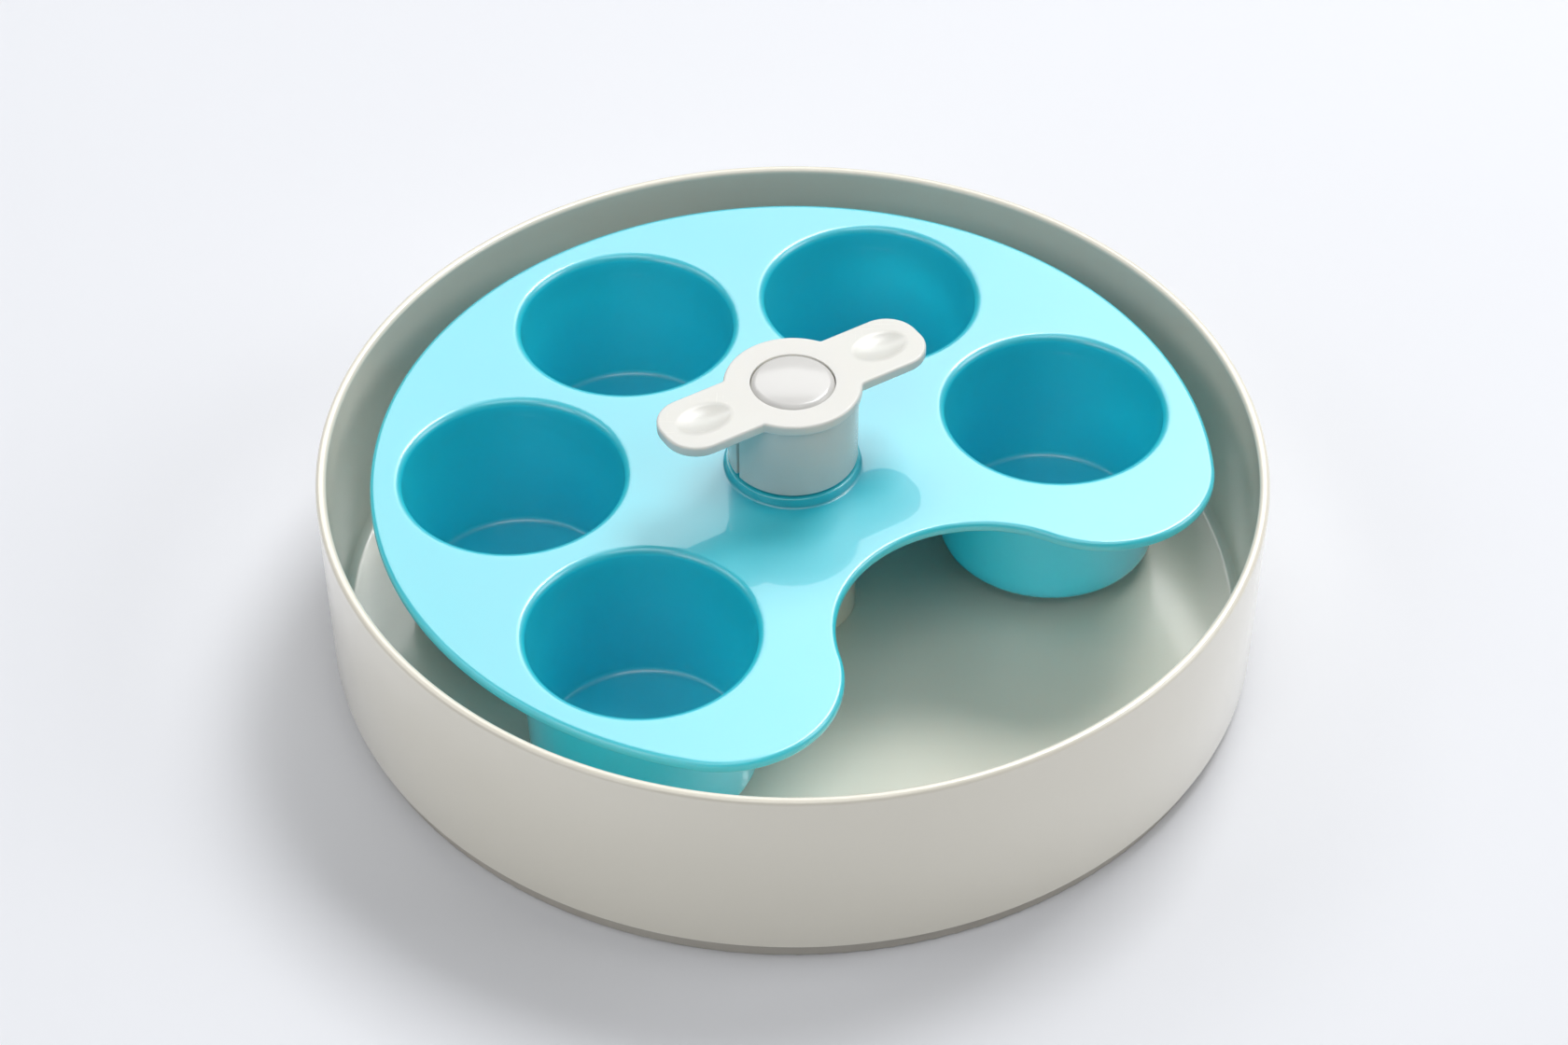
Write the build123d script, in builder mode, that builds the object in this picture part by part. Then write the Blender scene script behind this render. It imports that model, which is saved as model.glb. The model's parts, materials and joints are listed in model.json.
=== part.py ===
from build123d import *
import math
import os

# A palette-shaped tray with five cups turns on a post in the middle of a round bowl.
# The tray hangs on a carrier whose stem stands in the post, so wings, tray and stem lift out together.
# Pressing the button between the wings spreads two brake shoes that hold the tray still.
# Frame: origin on the table under the middle of the bowl, +Z up. Millimetres throughout.

# Bowl
BOWL_R = 135.0
BOWL_H = 63.0
WALL = 3.0
WALL_DRAFT = 0.5
FLOOR_TOP = 6.0
FLOOR_UNDER = 2.6
FLOOR_FILLET = 3.0
RIM_FILLET = 1.35
FOOT_STEP_Z = 5.4
FOOT_STEP_R = 131.0

# Raised boss in the middle of the bowl, hollow from below for the screws
BOSS_R = 15.4
BOSS_TOP = 14.0
BOSS_RECESS_R = 12.5
BOSS_RECESS_TOP = 11.0
COLUMN_SCREWS = 3
COLUMN_SCREW_PITCH_R = 8.0

# Foot ring and cover under the bowl
FOOT_R = 132.4
FOOT_INNER_R = 120.0
COVER_R = 24.0
COVER_UNDER = 0.9

# Column and the keyed guide bush in its top
COLUMN_R = 18.6
COLUMN_BORE = 15.6
COLUMN_TOP = 50.0
WEB_TOP = 20.0
GUIDE_BOTTOM = 24.0
GUIDE_TOP = 52.0
GUIDE_BORE = 13.0
KEY_WIDTH = 4.0
KEY_R = 14.45
KEY_PLAY = 0.1

# Carrier stem
STEM_R = 12.9
STEM_BORE = 9.5
FLANGE_R = 18.4
FLANGE_TOP = 54.8
JOURNAL_R = 14.0
JOURNAL_TOP = 80.0
PLUNGER_GUIDE_Z = 70.0
PLUNGER_GUIDE_R = 3.05
WASHER = 1.0
RUN_PLAY = 0.1

# Palette tray
TRAY_R = 120.0
TRAY_TOP = 59.0
PLATE = 3.0
BAY_AXIS = -51.5
BAY_NEAR = 43.9
LOBE_R = 33.0
LOBE_ANGLE = 51.1
EDGE_FILLET = 1.4
CUPS = 5
CUP_PITCH_R = 79.5
CUP_PITCH_ANGLE = 55.3
CUP_MOUTH_R = 31.7
CUP_LIP_FILLET = 2.3
CUP_FLOOR = 13.8
CUP_BOTTOM = 11.0
CUP_WALL = 1.7
CUP_DRAFT = 2.2
CUP_INNER_FILLET = 2.0
CUP_OUTER_FILLET = 3.0
COLLAR_R = 19.2
COLLAR_TOP = 62.2
HUB_BORE = 16.5
SKIRT_R = 21.2
SKIRT_BOTTOM = 51.0

# Bush in the tray's hub
BUSH_BORE = JOURNAL_R + RUN_PLAY
BUSH_BOTTOM = FLANGE_TOP + WASHER + RUN_PLAY
BUSH_FLANGE_R = 18.4
BUSH_FLANGE_TOP = 57.2
BUSH_TOP = 61.0

# Clip that keeps the tray on the journal
CLIP_Z = 61.9
CLIP_T = 0.9
CLIP_R = 15.9
CLIP_SEAT_R = 13.2

# Grip: wing handle over a split sleeve
WING_ANGLE = 32.6
WING_REACH = 41.9
WING_HALF = 10.9
WING_CORNER = 9.5
HANDLE_HUB_R = 19.5
HANDLE_TOP = 89.3
HANDLE_UNDER = 86.1
WELL_R = 12.05
WELL_FLOOR = 82.5
SLEEVE_R = 18.45
SLEEVE_INNER_R = 16.4
SLEEVE_BOTTOM = 62.9
SLEEVE_SLIT = 1.3
CORE_BOTTOM = 63.0
HANDLE_SCREW_PITCH_R = 9.2
HANDLE_SCREW_R = 1.0

# Thumb dimples on the wings: an oval hollow cut by a long spheroid
DIMPLE_AT = 29.0
DIMPLE_LENGTH = 17.0
DIMPLE_WIDTH = 11.0
DIMPLE_DEPTH = 1.1
DIMPLE_SOFTENING = 4.0

# Button, plunger and brake
BUTTON_R = 11.95
BUTTON_TOP = 90.3
BUTTON_SHOULDER = 89.5
BUTTON_ROLL = 2.1
BUTTON_SKIRT_Z = 85.6
PLUNGER_R = 2.95
WEDGE_HALF_Y = 3.5
WEDGE_BOTTOM = 53.5
WEDGE_TOP = 62.0
WEDGE_WIDE = 5.2
SPREAD = 0.4
SHOE_BOTTOM = 56.0
SHOE_TOP = 60.4
SHOE_HALF_Y = 4.0
SHOE_R = 11.6
PAD_R = 12.85
LEG_TOP = 65.0
LEG_IN = 5.5
LEG_R = 7.2
LEG_LIP_R = 8.0

GRIP_PLANE = Plane.XY.rotated((0, 0, WING_ANGLE))


def at_height(z):
    return Plane.XY.offset(z)


def grip_height(z):
    """A level plane whose X axis runs along the wings."""
    return GRIP_PLANE.offset(z)


def corner(sketch, r, z):
    """The corner of a half section that lies nearest to radius r and height z."""
    return sketch.vertices().sort_by_distance((r, z))[0]


os.makedirs("parts", exist_ok=True)

# Bowl: a drafted wall on a flat floor, stepped in underneath for the foot ring.
floor_corner_r = BOWL_R - WALL - WALL_DRAFT
with BuildPart() as bowl:
    with BuildSketch(Plane.XZ) as section:
        with BuildLine():
            Polyline(
                (0, BOSS_RECESS_TOP),
                (BOSS_RECESS_R, BOSS_RECESS_TOP),
                (BOSS_RECESS_R, FLOOR_UNDER),
                (FOOT_STEP_R, FLOOR_UNDER),
                (FOOT_STEP_R, FOOT_STEP_Z),
                (BOWL_R - WALL_DRAFT, FOOT_STEP_Z),
                (BOWL_R, BOWL_H),
                (BOWL_R - WALL, BOWL_H),
                (floor_corner_r, FLOOR_TOP),
                (BOSS_R, FLOOR_TOP),
                (BOSS_R, BOSS_TOP),
                (0, BOSS_TOP),
                close=True,
            )
        make_face()
        fillet(section.vertices().group_by(Axis.Y)[-1], RIM_FILLET)
        fillet(corner(section, floor_corner_r, FLOOR_TOP), FLOOR_FILLET)
        fillet(corner(section, BOWL_R - WALL_DRAFT, FOOT_STEP_Z), 0.8)
    revolve(axis=Axis.Z)
    with BuildSketch(at_height(BOSS_RECESS_TOP)):
        with PolarLocations(COLUMN_SCREW_PITCH_R, COLUMN_SCREWS):
            Circle(1.7)
    extrude(amount=BOSS_TOP - BOSS_RECESS_TOP, mode=Mode.SUBTRACT)
bowl.part.label = "bowl"
export_step(bowl.part, "parts/bowl.step")

# Foot ring: soft L-section band that hugs the step and carries the bowl on the table.
with BuildPart() as foot_ring:
    with BuildSketch(Plane.XZ) as section:
        with BuildLine():
            Polyline(
                (FOOT_INNER_R, 0),
                (FOOT_R, 0),
                (FOOT_R, FOOT_STEP_Z),
                (FOOT_STEP_R, FOOT_STEP_Z),
                (FOOT_STEP_R, FLOOR_UNDER),
                (FOOT_INNER_R, FLOOR_UNDER),
                close=True,
            )
        make_face()
        fillet(corner(section, FOOT_R, 0), 0.6)
        fillet(corner(section, FOOT_INNER_R, 0), 0.6)
    revolve(axis=Axis.Z)
foot_ring.part.label = "foot_ring"
export_step(foot_ring.part, "parts/foot_ring.step")

# Base cover: disc with a spigot that snaps into the boss and hides the screws.
with BuildPart() as base_cover:
    with BuildSketch(at_height(COVER_UNDER)):
        Circle(COVER_R)
    extrude(amount=FLOOR_UNDER - COVER_UNDER)
    chamfer(base_cover.edges().group_by(Axis.Z)[0], 0.6)
    with BuildSketch(at_height(FLOOR_UNDER)):
        Circle(BOSS_RECESS_R - 0.1)
        Circle(BOSS_RECESS_R - 1.5, mode=Mode.SUBTRACT)
    extrude(amount=4)
base_cover.part.label = "base_cover"
export_step(base_cover.part, "parts/base_cover.step")

# Centre column: tube standing on the floor round the boss, with a web that takes the screws.
with BuildPart() as centre_column:
    with BuildSketch(at_height(FLOOR_TOP)):
        Circle(COLUMN_R)
    extrude(amount=COLUMN_TOP - FLOOR_TOP)
    chamfer(centre_column.edges().group_by(Axis.Z)[0], 0.4)
    with BuildSketch(at_height(FLOOR_TOP)):
        Circle(COLUMN_BORE)
    extrude(amount=BOSS_TOP - FLOOR_TOP, mode=Mode.SUBTRACT)
    with BuildSketch(at_height(WEB_TOP)):
        Circle(COLUMN_BORE)
    extrude(amount=COLUMN_TOP - WEB_TOP, mode=Mode.SUBTRACT)
    with BuildSketch(at_height(BOSS_TOP)):
        with PolarLocations(COLUMN_SCREW_PITCH_R, COLUMN_SCREWS):
            Circle(1.4)
    extrude(amount=WEB_TOP - BOSS_TOP, mode=Mode.SUBTRACT)
centre_column.part.label = "centre_column"
export_step(centre_column.part, "parts/centre_column.step")

# Column screws: pan heads under the boss, shanks up into the column's web.
with BuildPart() as column_screws:
    with BuildSketch(at_height(BOSS_RECESS_TOP)):
        with PolarLocations(COLUMN_SCREW_PITCH_R, COLUMN_SCREWS):
            Circle(2.8)
    extrude(amount=-2.2)
    fillet(column_screws.edges().group_by(Axis.Z)[0], 0.6)
    with BuildSketch(at_height(BOSS_RECESS_TOP - 2.2)):
        with PolarLocations(COLUMN_SCREW_PITCH_R, COLUMN_SCREWS):
            RegularPolygon(1.4, 6)
    extrude(amount=1.3, mode=Mode.SUBTRACT)
    with BuildSketch(at_height(BOSS_RECESS_TOP)):
        with PolarLocations(COLUMN_SCREW_PITCH_R, COLUMN_SCREWS):
            Circle(1.35)
    extrude(amount=WEB_TOP - BOSS_RECESS_TOP - 1)
column_screws.part.label = "column_screws"
export_step(column_screws.part, "parts/column_screws.step")

# Guide bush: lines the top of the column, with two keyways that stop the stem from turning.
with BuildPart() as guide_bush:
    with BuildSketch(at_height(GUIDE_BOTTOM)):
        Circle(COLUMN_BORE - 0.05)
    extrude(amount=COLUMN_TOP - GUIDE_BOTTOM)
    with BuildSketch(at_height(COLUMN_TOP)):
        Circle(COLUMN_R)
    extrude(amount=GUIDE_TOP - COLUMN_TOP)
    fillet(guide_bush.edges().group_by(Axis.Z)[-1], 0.5)
    with BuildSketch(grip_height(GUIDE_BOTTOM)):
        Circle(GUIDE_BORE)
        Rectangle(2 * (KEY_R + 2 * KEY_PLAY), KEY_WIDTH + 2 * KEY_PLAY)
    extrude(amount=GUIDE_TOP - GUIDE_BOTTOM, mode=Mode.SUBTRACT)
guide_bush.part.label = "guide_bush"
export_step(guide_bush.part, "parts/guide_bush.step")

# Carrier stem: keyed tube below, flange that sits on the guide bush, journal for the tray above.
with BuildPart() as carrier_stem:
    with BuildSketch(grip_height(GUIDE_BOTTOM)):
        Circle(STEM_R)
        Rectangle(2 * KEY_R, KEY_WIDTH)
    extrude(amount=GUIDE_TOP - GUIDE_BOTTOM)
    with BuildSketch(at_height(GUIDE_TOP)):
        Circle(FLANGE_R)
    extrude(amount=FLANGE_TOP - GUIDE_TOP)
    with BuildSketch(at_height(FLANGE_TOP)):
        Circle(JOURNAL_R)
    extrude(amount=JOURNAL_TOP - FLANGE_TOP)
    with BuildSketch(at_height(GUIDE_BOTTOM)):
        Circle(STEM_BORE)
    extrude(amount=PLUNGER_GUIDE_Z - GUIDE_BOTTOM, mode=Mode.SUBTRACT)
    with BuildSketch(at_height(PLUNGER_GUIDE_Z)):
        Circle(PLUNGER_GUIDE_R)
    extrude(amount=JOURNAL_TOP - PLUNGER_GUIDE_Z, mode=Mode.SUBTRACT)
    # windows that the shoes look out of
    with BuildSketch(grip_height(SHOE_BOTTOM - 0.1)):
        Rectangle(4 * JOURNAL_R, 2 * SHOE_HALF_Y + 0.2)
    extrude(amount=SHOE_TOP - SHOE_BOTTOM + 0.3, mode=Mode.SUBTRACT)
    # groove for the clip
    with BuildSketch(at_height(CLIP_Z - 0.05)):
        Circle(JOURNAL_R + 1)
        Circle(CLIP_SEAT_R, mode=Mode.SUBTRACT)
    extrude(amount=CLIP_T + 0.1, mode=Mode.SUBTRACT)
    # pilot holes for the handle's screws
    with BuildSketch(grip_height(JOURNAL_TOP)):
        with PolarLocations(HANDLE_SCREW_PITCH_R, 2):
            Circle(HANDLE_SCREW_R + 0.05)
    extrude(amount=-8, mode=Mode.SUBTRACT)
carrier_stem.part.label = "carrier_stem"
export_step(carrier_stem.part, "parts/carrier_stem.step")

# Stem plug: closes the foot of the stem.
with BuildPart() as stem_plug:
    with BuildSketch(at_height(GUIDE_BOTTOM)):
        Circle(STEM_BORE - 0.05)
    extrude(amount=4)
    with BuildSketch(at_height(GUIDE_BOTTOM)):
        Circle(STEM_R - 0.5)
    extrude(amount=-1.5)
    chamfer(stem_plug.edges().group_by(Axis.Z)[0], 0.5)
stem_plug.part.label = "stem_plug"
export_step(stem_plug.part, "parts/stem_plug.step")

# Tray moulding: round plate with a bay and five drafted cups.
lobe_x = (TRAY_R - LOBE_R) * math.cos(math.radians(LOBE_ANGLE))
lobe_y = (TRAY_R - LOBE_R) * math.sin(math.radians(LOBE_ANGLE))
bay_step = BAY_NEAR - lobe_x
bay_r = (bay_step**2 + lobe_y**2 - LOBE_R**2) / (2 * (LOBE_R - bay_step))
first_cup = BAY_AXIS + 180 - CUP_PITCH_ANGLE * (CUPS - 1) / 2
plate_under = TRAY_TOP - PLATE
with BuildPart() as moulding:
    with BuildSketch(Plane.XY.rotated((0, 0, BAY_AXIS)).offset(plate_under)) as outline:
        Circle(TRAY_R)
        with Locations((BAY_NEAR + bay_r, 0)):
            Circle(bay_r, mode=Mode.SUBTRACT)
        fillet(outline.vertices(), LOBE_R)
    extrude(amount=PLATE)
    fillet(moulding.edges().group_by(Axis.Z)[-1], EDGE_FILLET)
    fillet(moulding.edges().group_by(Axis.Z)[0], 0.6)
    with BuildSketch(at_height(plate_under)):
        with PolarLocations(CUP_PITCH_R, CUPS, first_cup, CUPS * CUP_PITCH_ANGLE):
            Circle(CUP_MOUTH_R + CUP_WALL)
    extrude(amount=CUP_BOTTOM - plate_under, taper=CUP_DRAFT)
    fillet(moulding.edges().group_by(Axis.Z)[0], CUP_OUTER_FILLET)
    with BuildSketch(at_height(TRAY_TOP)):
        with PolarLocations(CUP_PITCH_R, CUPS, first_cup, CUPS * CUP_PITCH_ANGLE):
            Circle(CUP_MOUTH_R)
    extrude(amount=CUP_FLOOR - TRAY_TOP, taper=CUP_DRAFT, mode=Mode.SUBTRACT)
    cup_floors = moulding.edges().filter_by_position(Axis.Z, CUP_FLOOR - 0.01, CUP_FLOOR + 0.01)
    fillet(cup_floors, CUP_INNER_FILLET)
    mouths = moulding.edges().filter_by(GeomType.CIRCLE).group_by(Axis.Z)[-1]
    fillet(mouths.filter_by(lambda edge: abs(edge.radius - CUP_MOUTH_R) < 0.01), CUP_LIP_FILLET)


def angle_past_bay(shape):
    centre = shape.center()
    return (math.degrees(math.atan2(centre.Y, centre.X)) - BAY_AXIS) % 360


# Palette tray: the moulding's plate, with the hub's collar above it and a drip skirt below.
with BuildPart() as palette_tray:
    add(moulding.part)
    split(bisect_by=at_height(plate_under), keep=Keep.TOP)
    with BuildSketch(at_height(TRAY_TOP)):
        Circle(COLLAR_R)
    extrude(amount=COLLAR_TOP - TRAY_TOP)
    fillet(palette_tray.edges().group_by(Axis.Z)[-1], 0.5)
    with BuildSketch(at_height(SKIRT_BOTTOM)):
        Circle(SKIRT_R)
        Circle(COLLAR_R, mode=Mode.SUBTRACT)
    extrude(amount=plate_under - SKIRT_BOTTOM)
    with BuildSketch(at_height(plate_under)):
        Circle(BUSH_FLANGE_R + 0.05)
    extrude(amount=BUSH_FLANGE_TOP - plate_under, mode=Mode.SUBTRACT)
    with BuildSketch(at_height(BUSH_FLANGE_TOP)):
        Circle(HUB_BORE)
    extrude(amount=COLLAR_TOP - BUSH_FLANGE_TOP, mode=Mode.SUBTRACT)
palette_tray.part.label = "palette_tray"
export_step(palette_tray.part, "parts/palette_tray.step")

# Cups: the moulding's shells below the plate, one node each, so that each stays open on its own.
shells = split(moulding.part, bisect_by=at_height(plate_under), keep=Keep.BOTTOM).solids()
for number, shell in enumerate(shells.sort_by(angle_past_bay), start=1):
    with BuildPart() as cup:
        add(shell)
    cup.part.label = f"cup_{number}"
    export_step(cup.part, f"parts/cup_{number}.step")

# Tray bush: flanged bearing pressed into the hub from below; its bore is also the brake's drum.
with BuildPart() as tray_bush:
    with BuildSketch(at_height(BUSH_BOTTOM)):
        Circle(BUSH_FLANGE_R)
    extrude(amount=BUSH_FLANGE_TOP - BUSH_BOTTOM)
    with BuildSketch(at_height(BUSH_FLANGE_TOP)):
        Circle(HUB_BORE - 0.02)
    extrude(amount=BUSH_TOP - BUSH_FLANGE_TOP)
    with BuildSketch(at_height(BUSH_BOTTOM)):
        Circle(BUSH_BORE)
    extrude(amount=BUSH_TOP - BUSH_BOTTOM, mode=Mode.SUBTRACT)
tray_bush.part.label = "tray_bush"
export_step(tray_bush.part, "parts/tray_bush.step")

# Washers: one on the stem's flange under the bush, one over it under the clip.
with BuildPart() as lower_washer:
    with BuildSketch(at_height(FLANGE_TOP)):
        Circle(FLANGE_R - 0.2)
        Circle(BUSH_BORE, mode=Mode.SUBTRACT)
    extrude(amount=WASHER)
lower_washer.part.label = "lower_washer"
export_step(lower_washer.part, "parts/lower_washer.step")

with BuildPart() as upper_washer:
    with BuildSketch(at_height(BUSH_TOP + RUN_PLAY)):
        Circle(HUB_BORE - 0.3)
        Circle(BUSH_BORE, mode=Mode.SUBTRACT)
    extrude(amount=CLIP_Z - BUSH_TOP - RUN_PLAY)
upper_washer.part.label = "upper_washer"
export_step(upper_washer.part, "parts/upper_washer.step")

# Retaining clip: open spring ring snapped into the journal's groove.
with BuildPart() as retaining_clip:
    with BuildSketch(at_height(CLIP_Z)):
        Circle(CLIP_R)
        Circle(CLIP_SEAT_R + 0.1, mode=Mode.SUBTRACT)
        with Locations((CLIP_R, 0)):
            Rectangle(CLIP_R, 9, mode=Mode.SUBTRACT)
    extrude(amount=CLIP_T)
retaining_clip.part.label = "retaining_clip"
export_step(retaining_clip.part, "parts/retaining_clip.step")

# Grip core: tube over the journal that carries the two sleeve halves.
with BuildPart() as grip_core:
    with BuildSketch(at_height(CORE_BOTTOM)):
        Circle(SLEEVE_INNER_R - 0.05)
        Circle(JOURNAL_R + 0.05, mode=Mode.SUBTRACT)
    extrude(amount=HANDLE_UNDER - CORE_BOTTOM)
grip_core.part.label = "grip_core"
export_step(grip_core.part, "parts/grip_core.step")

# Sleeve halves: the slits between them lie under the wings.
with BuildPart() as sleeve_front:
    with BuildSketch(grip_height(SLEEVE_BOTTOM)):
        Circle(SLEEVE_R)
        Circle(SLEEVE_INNER_R, mode=Mode.SUBTRACT)
        with Locations((0, SLEEVE_R / 2)):
            Rectangle(3 * SLEEVE_R, SLEEVE_R + SLEEVE_SLIT, mode=Mode.SUBTRACT)
    extrude(amount=HANDLE_UNDER - SLEEVE_BOTTOM)
    long_edges = sleeve_front.edges().filter_by(Axis.Z).group_by(SortBy.DISTANCE)[-1]
    fillet(long_edges, 0.4)
    foot_edges = sleeve_front.edges().group_by(Axis.Z)[0].filter_by(GeomType.CIRCLE)
    fillet(foot_edges.sort_by(SortBy.LENGTH)[-1], 0.4)
sleeve_front.part.label = "sleeve_front"
export_step(sleeve_front.part, "parts/sleeve_front.step")

with BuildPart() as sleeve_rear:
    add(sleeve_front.part.rotate(Axis.Z, 180))
sleeve_rear.part.label = "sleeve_rear"
export_step(sleeve_rear.part, "parts/sleeve_rear.step")

# Wing handle: plate with two finger wings and thumb dimples; the well in its hub holds the button.
rise = DIMPLE_WIDTH**2 / 8 / DIMPLE_DEPTH - DIMPLE_DEPTH / 2
cut_half_y = rise + DIMPLE_DEPTH
cut_half_x = cut_half_y * DIMPLE_LENGTH / DIMPLE_WIDTH
with BuildPart() as wing_handle:
    with BuildSketch(grip_height(HANDLE_UNDER)) as outline:
        RectangleRounded(2 * WING_REACH, 2 * WING_HALF, WING_CORNER)
        Circle(HANDLE_HUB_R)
        junctions = outline.vertices().filter_by(lambda v: abs(v.center().length - HANDLE_HUB_R) < 0.1)
        fillet(junctions, 1.0)
    extrude(amount=HANDLE_TOP - HANDLE_UNDER)
    fillet(wing_handle.edges().group_by(Axis.Z)[-1], 0.7)
    fillet(wing_handle.edges().group_by(Axis.Z)[0], 0.5)
    with BuildSketch(at_height(JOURNAL_TOP)):
        Circle(JOURNAL_R - 0.05)
    extrude(amount=HANDLE_UNDER - JOURNAL_TOP)
    with BuildSketch(at_height(WELL_FLOOR)):
        Circle(WELL_R)
    extrude(amount=HANDLE_TOP - WELL_FLOOR, mode=Mode.SUBTRACT)
    with BuildSketch(at_height(JOURNAL_TOP)):
        Circle(PLUNGER_R + 0.25)
    extrude(amount=WELL_FLOOR - JOURNAL_TOP, mode=Mode.SUBTRACT)
    with Locations(grip_height(WELL_FLOOR)):
        with PolarLocations(HANDLE_SCREW_PITCH_R, 2):
            CounterSinkHole(HANDLE_SCREW_R + 0.1, 2.2, WELL_FLOOR - JOURNAL_TOP)
    for side in (-1, 1):
        hollow = Plane(
            GRIP_PLANE.from_local_coords((side * DIMPLE_AT, 0, HANDLE_TOP + rise)),
            x_dir=GRIP_PLANE.x_dir,
            z_dir=-GRIP_PLANE.y_dir,
        )
        with BuildSketch(hollow):
            Ellipse(cut_half_x, cut_half_y)
            with Locations((0, cut_half_y / 2)):
                Rectangle(3 * cut_half_x, cut_half_y, mode=Mode.SUBTRACT)
        revolve(axis=Axis(hollow.origin, hollow.x_dir), mode=Mode.SUBTRACT)
    top_face = wing_handle.faces().filter_by(GeomType.PLANE).sort_by(Axis.Z)[-1]
    rims = top_face.inner_wires().edges()
    dimple_rims = rims.filter_by(lambda edge: edge.center(CenterOf.BOUNDING_BOX).length > HANDLE_TOP + 2)
    fillet(dimple_rims, DIMPLE_SOFTENING)
wing_handle.part.label = "wing_handle"
export_step(wing_handle.part, "parts/wing_handle.step")

# Handle screws: countersunk heads flush with the floor of the well, hidden by the button.
with BuildPart() as handle_screws:
    with BuildSketch(grip_height(WELL_FLOOR)):
        with PolarLocations(HANDLE_SCREW_PITCH_R, 2):
            Circle(2.1)
    extrude(amount=-1.1, taper=45)
    with BuildSketch(grip_height(WELL_FLOOR)):
        with PolarLocations(HANDLE_SCREW_PITCH_R, 2):
            Circle(HANDLE_SCREW_R)
    extrude(amount=-9)
    with BuildSketch(grip_height(WELL_FLOOR)):
        with PolarLocations(HANDLE_SCREW_PITCH_R, 2):
            Rectangle(2.0, 0.5)
            Rectangle(0.5, 2.0)
    extrude(amount=-0.7, mode=Mode.SUBTRACT)
handle_screws.part.label = "handle_screws"
export_step(handle_screws.part, "parts/handle_screws.step")

# Button: crowned cap with a skirt, and a socket that holds the plunger.
with BuildPart() as button:
    with BuildSketch(Plane.XZ) as section:
        with BuildLine():
            crown = ThreePointArc(
                (0, BUTTON_TOP), (BUTTON_R * 0.5, BUTTON_TOP - 0.12), (BUTTON_R, BUTTON_SHOULDER)
            )
            Polyline(
                crown @ 1,
                (BUTTON_R, BUTTON_SKIRT_Z),
                (BUTTON_R - 1.5, BUTTON_SKIRT_Z),
                (BUTTON_R - 1.5, 87.4),
                (4.4, 87.4),
                (4.4, BUTTON_SKIRT_Z),
                (PLUNGER_R, BUTTON_SKIRT_Z),
                (PLUNGER_R, 88.0),
                (0, 88.0),
                (0, BUTTON_TOP),
            )
        make_face()
        fillet(corner(section, BUTTON_R, BUTTON_SHOULDER), BUTTON_ROLL)
    revolve(axis=Axis.Z)
button.part.label = "button"
export_step(button.part, "parts/button.step")

# Button spring: stands on the floor of the well and lifts the button.
SPRING_R = 6.2
SPRING_WIRE = 0.25
with BuildPart() as button_spring:
    with BuildLine():
        coil = Helix(1.45, 4.35, SPRING_R, center=(0, 0, WELL_FLOOR + SPRING_WIRE))
    with BuildSketch(Plane(coil @ 0, z_dir=coil % 0)):
        Circle(SPRING_WIRE)
    sweep(is_frenet=True)
button_spring.part.label = "button_spring"
export_step(button_spring.part, "parts/button_spring.step")

# Brake plunger: rod under the button with a flat-sided wedge that spreads the shoes.
wedge_narrow = WEDGE_WIDE - SPREAD * (WEDGE_TOP - WEDGE_BOTTOM)
shoulder_z = PLUNGER_GUIDE_Z - 0.1
with BuildPart() as brake_plunger:
    with BuildSketch(at_height(shoulder_z)):
        Circle(PLUNGER_R)
    extrude(amount=87.9 - shoulder_z)
    chamfer(brake_plunger.edges().group_by(Axis.Z)[-1], 0.4)
    with BuildSketch(Plane(GRIP_PLANE.origin, x_dir=GRIP_PLANE.x_dir, z_dir=-GRIP_PLANE.y_dir)):
        with BuildLine():
            Polyline(
                (-WEDGE_WIDE, shoulder_z),
                (-WEDGE_WIDE, WEDGE_TOP),
                (-wedge_narrow, WEDGE_BOTTOM),
                (wedge_narrow, WEDGE_BOTTOM),
                (WEDGE_WIDE, WEDGE_TOP),
                (WEDGE_WIDE, shoulder_z),
                close=True,
            )
        make_face()
    extrude(amount=WEDGE_HALF_Y, both=True)
brake_plunger.part.label = "brake_plunger"
export_step(brake_plunger.part, "parts/brake_plunger.step")

# Brake shoes: blocks in the stem's windows, each with a leg that the return ring pulls inwards.
GAP = 0.1
face_low = wedge_narrow + SPREAD * (SHOE_BOTTOM - WEDGE_BOTTOM) + GAP
face_high = face_low + SPREAD * (SHOE_TOP - SHOE_BOTTOM)
with BuildPart() as brake_shoe_left:
    with BuildSketch(grip_height(SHOE_BOTTOM)):
        Circle(SHOE_R)
        with Locations((SHOE_R, 0)):
            Rectangle(2 * SHOE_R, 2 * SHOE_HALF_Y, mode=Mode.INTERSECT)
    extrude(amount=SHOE_TOP - SHOE_BOTTOM)
    with BuildSketch(Plane(GRIP_PLANE.origin, x_dir=GRIP_PLANE.x_dir, z_dir=-GRIP_PLANE.y_dir)):
        with BuildLine():
            Polyline(
                (-1, SHOE_BOTTOM - 1),
                (face_low - SPREAD, SHOE_BOTTOM - 1),
                (face_high + SPREAD, SHOE_TOP + 1),
                (-1, SHOE_TOP + 1),
                close=True,
            )
        make_face()
    extrude(amount=2 * SHOE_HALF_Y, both=True, mode=Mode.SUBTRACT)
    with BuildSketch(grip_height(SHOE_TOP)):
        Circle(LEG_R)
        with Locations((LEG_IN + LEG_R, 0)):
            Rectangle(2 * LEG_R, 6, mode=Mode.INTERSECT)
    extrude(amount=LEG_TOP - SHOE_TOP)
    with BuildSketch(grip_height(LEG_TOP - 0.8)):
        Circle(LEG_LIP_R)
        with Locations((LEG_IN + LEG_R, 0)):
            Rectangle(2 * LEG_R, 6, mode=Mode.INTERSECT)
    extrude(amount=0.8)
brake_shoe_left.part.label = "brake_shoe_left"
export_step(brake_shoe_left.part, "parts/brake_shoe_left.step")

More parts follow.
